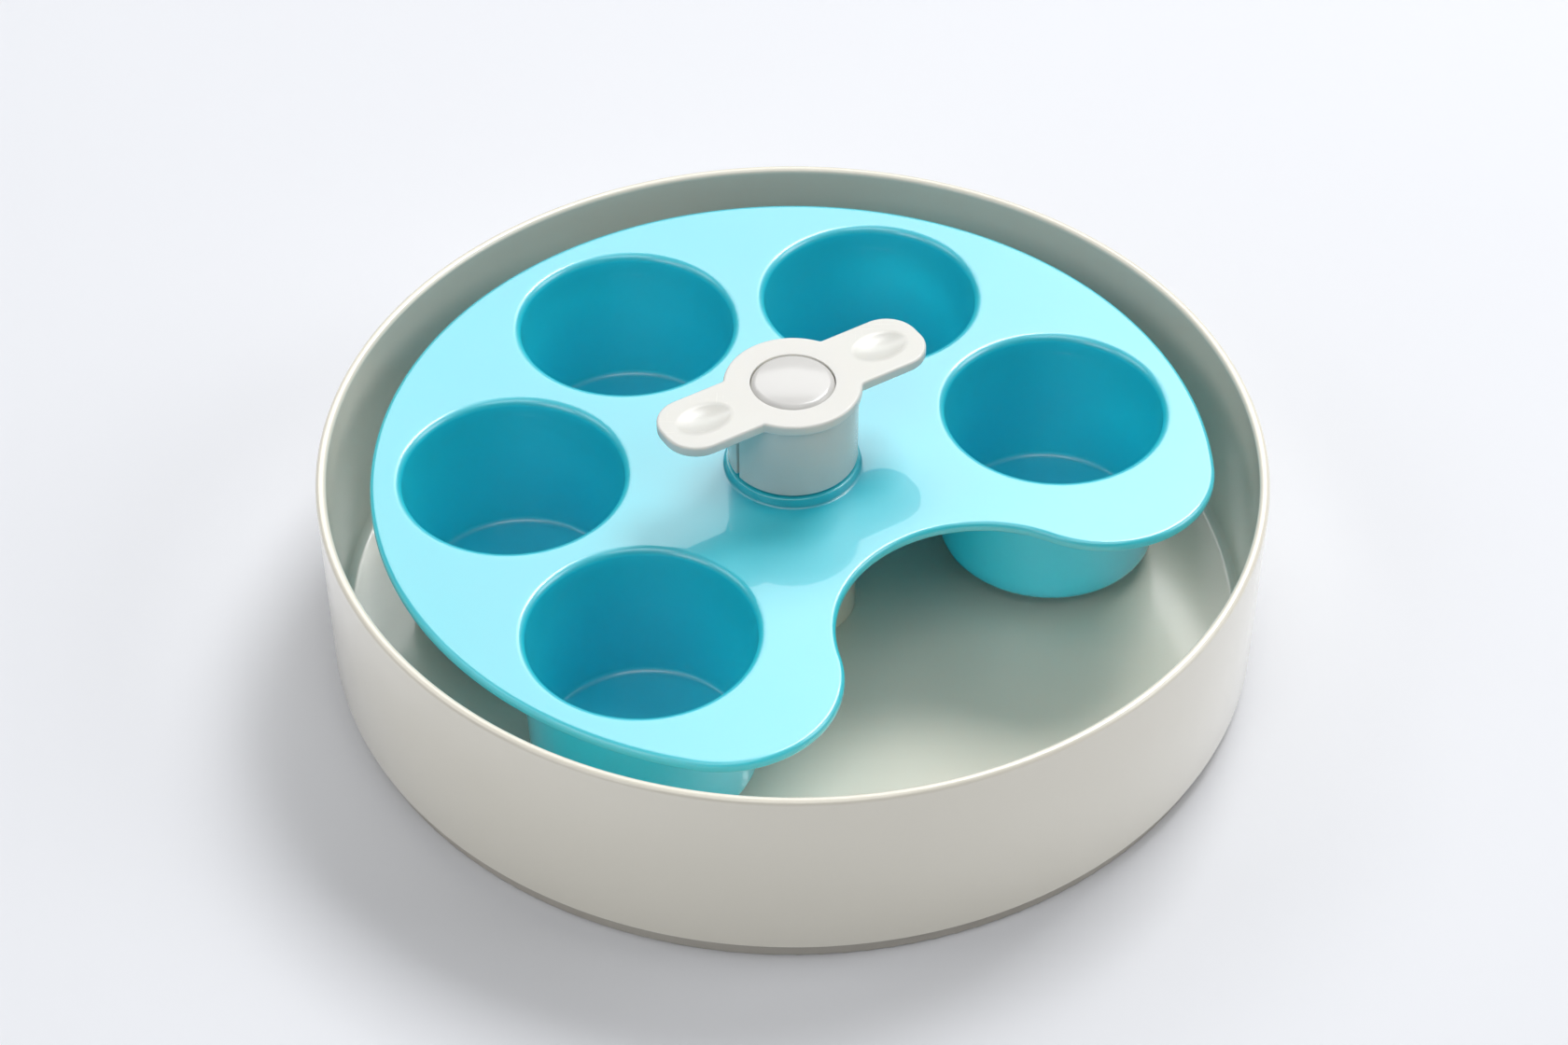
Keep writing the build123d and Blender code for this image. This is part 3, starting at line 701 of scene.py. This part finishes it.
# %% [markdown]
# ## Steel
# Screws and spring wire are bare stainless steel, drawn or brushed along one way. An anisotropic shader
# would smear the highlight, but it needs tangents that such small parts don't repay, so a stretched noise
# moves the roughness.

# %% Finish: steel
BRUSH_SIZE = 0.5 * MM
BRUSH_STRENGTH = 0.2
BRUSH_DEPTH = 0.002 * MM
STAIN_SIZE = 3 * MM
STEEL_SHADE = srgb(150, 150, 152)


def steel(name, colour, gloss):
    """Brushed bare metal."""
    finish = Finish(name, Metallic=1.0)
    brushing = finish.noise(BRUSH_SIZE, detail=3, stretch=(1, 14, 1))
    finish.set(
        Base_Color=finish.mix(finish.noise(STAIN_SIZE), colour, STEEL_SHADE),
        Roughness=brushing * BRUSH_STRENGTH + gloss,
    )
    finish.bump(brushing, BRUSH_DEPTH)
    finish.tell()
    return finish


screw_finish = steel("screw_steel", srgb(196, 196, 198), gloss=0.22)
spring_finish = steel("spring_wire", srgb(180, 181, 184), gloss=0.18)

# %% [markdown]
# ## Dressing the parts
# The measured model says for each part what it is made of, as the name of a material slot. One table from
# slots to finishes dresses them all, which is quicker and safer than dressing each part by hand.

# %% Dress every part
DRESS = {
    "bowl": bowl_finish,
    "tray": tray_finish,
    "grip": grip_finish,
    "button": button_finish,
    "inner": inner_finish,
    "bearing": bearing_finish,
    "foot": foot_finish,
    "screw": screw_finish,
    "spring_steel": spring_finish,
}
tray.data.materials.append(DRESS["tray"].material)
bowl.data.materials.append(DRESS["bowl"].material)
for part in frame["record"]["subparts"]:
    mesh = nodes[part["node"]].data
    mesh.materials.clear()
    mesh.materials.append(DRESS[part["material_slot"]].material)

# %% [markdown]
# ## The table
# The object stands on a wide sheet of pale paper, which is so large that its edges never come into view. A
# curved backdrop would do the same, but from above only its flat part would show.

# %% Lay the table
TABLE_HALF = 4.0
PAPER_CLOUD = 120 * MM

sheet = bmesh.new()
bmesh.ops.create_grid(sheet, x_segments=1, y_segments=1, size=TABLE_HALF)
table_mesh = bpy.data.meshes.new("studio_table")
sheet.to_mesh(table_mesh)
sheet.free()
table = bpy.data.objects.new("studio_table", table_mesh)
bpy.context.scene.collection.objects.link(table)
table_finish = Finish("studio_paper", Roughness=0.9)
paper_cloud = table_finish.noise(PAPER_CLOUD, detail=3)
table_finish.set(Base_Color=table_finish.mix(paper_cloud, srgb(237, 239, 244), srgb(236, 238, 243)))
table_mesh.materials.append(table_finish.material)
table_finish.tell()

# %% [markdown]
# ## The lamps
# Six soft boxes light the bowl. The bright key stands high behind it on the right and throws the shadow to
# the front left. The wide one behind is there for the tray, whose gloss mirrors it, and that is what turns
# its top pale. The rest fill the walls from the sides and the front. One big dome of light would be
# simpler, but it leaves no shape in the cups, so the room itself is nearly dark.

# %% Hang the soft boxes
def softbox(name, azimuth, elevation, distance, width, height, radiance):
    """A flat lamp that faces the bowl; radiance is how bright its face looks."""
    lamp = bpy.data.lights.new(name, "AREA")
    lamp.shape = "RECTANGLE"
    lamp.size = width
    lamp.size_y = height
    lamp.energy = radiance * math.pi * width * height
    holder = bpy.data.objects.new(name, lamp)
    level = math.cos(math.radians(elevation))
    towards = around(math.radians(azimuth), level) + Vector((0, 0, math.sin(math.radians(elevation))))
    holder.location = towards * distance + Vector((0, 0, RIM_Z))
    holder.rotation_euler = (-towards).to_track_quat("-Z", "Y").to_euler()
    bpy.context.scene.collection.objects.link(holder)
    print(name, "at", azimuth, "degrees round and", elevation, "up")


softbox("key_softbox", azimuth=57, elevation=56, distance=3.0, width=1.2, height=1.1, radiance=11.5)
softbox("back_softbox", azimuth=94, elevation=43, distance=3.0, width=3.2, height=0.85, radiance=3.1)
softbox("right_softbox", azimuth=0, elevation=32, distance=2.5, width=1.2, height=1.2, radiance=3.1)
softbox("left_softbox", azimuth=180, elevation=40, distance=2.5, width=1.2, height=1.2, radiance=1.5)
softbox("front_left_softbox", azimuth=225, elevation=32, distance=2.5, width=1.2, height=1.2, radiance=1.8)
softbox("front_softbox", azimuth=270, elevation=66, distance=2.5, width=1.6, height=1.2, radiance=1.7)

# %% [markdown]
# ## The room
# A faint cool light from all round stands for the studio's white walls and keeps the deepest corners from
# going black. The Standard view shows colours as they were chosen, where the default one would grey the
# whites.

# %% Light the room
ROOM_COLOUR = (0.95, 0.97, 1.0, 1)
ROOM_STRENGTH = 0.08

room = bpy.data.worlds.new("white_room")
room.use_nodes = True
background = room.node_tree.nodes["Background"]
background.inputs["Color"].default_value = ROOM_COLOUR
background.inputs["Strength"].default_value = ROOM_STRENGTH
bpy.context.scene.world = room
bpy.context.scene.view_settings.view_transform = "Standard"
print("room lit at", ROOM_STRENGTH)
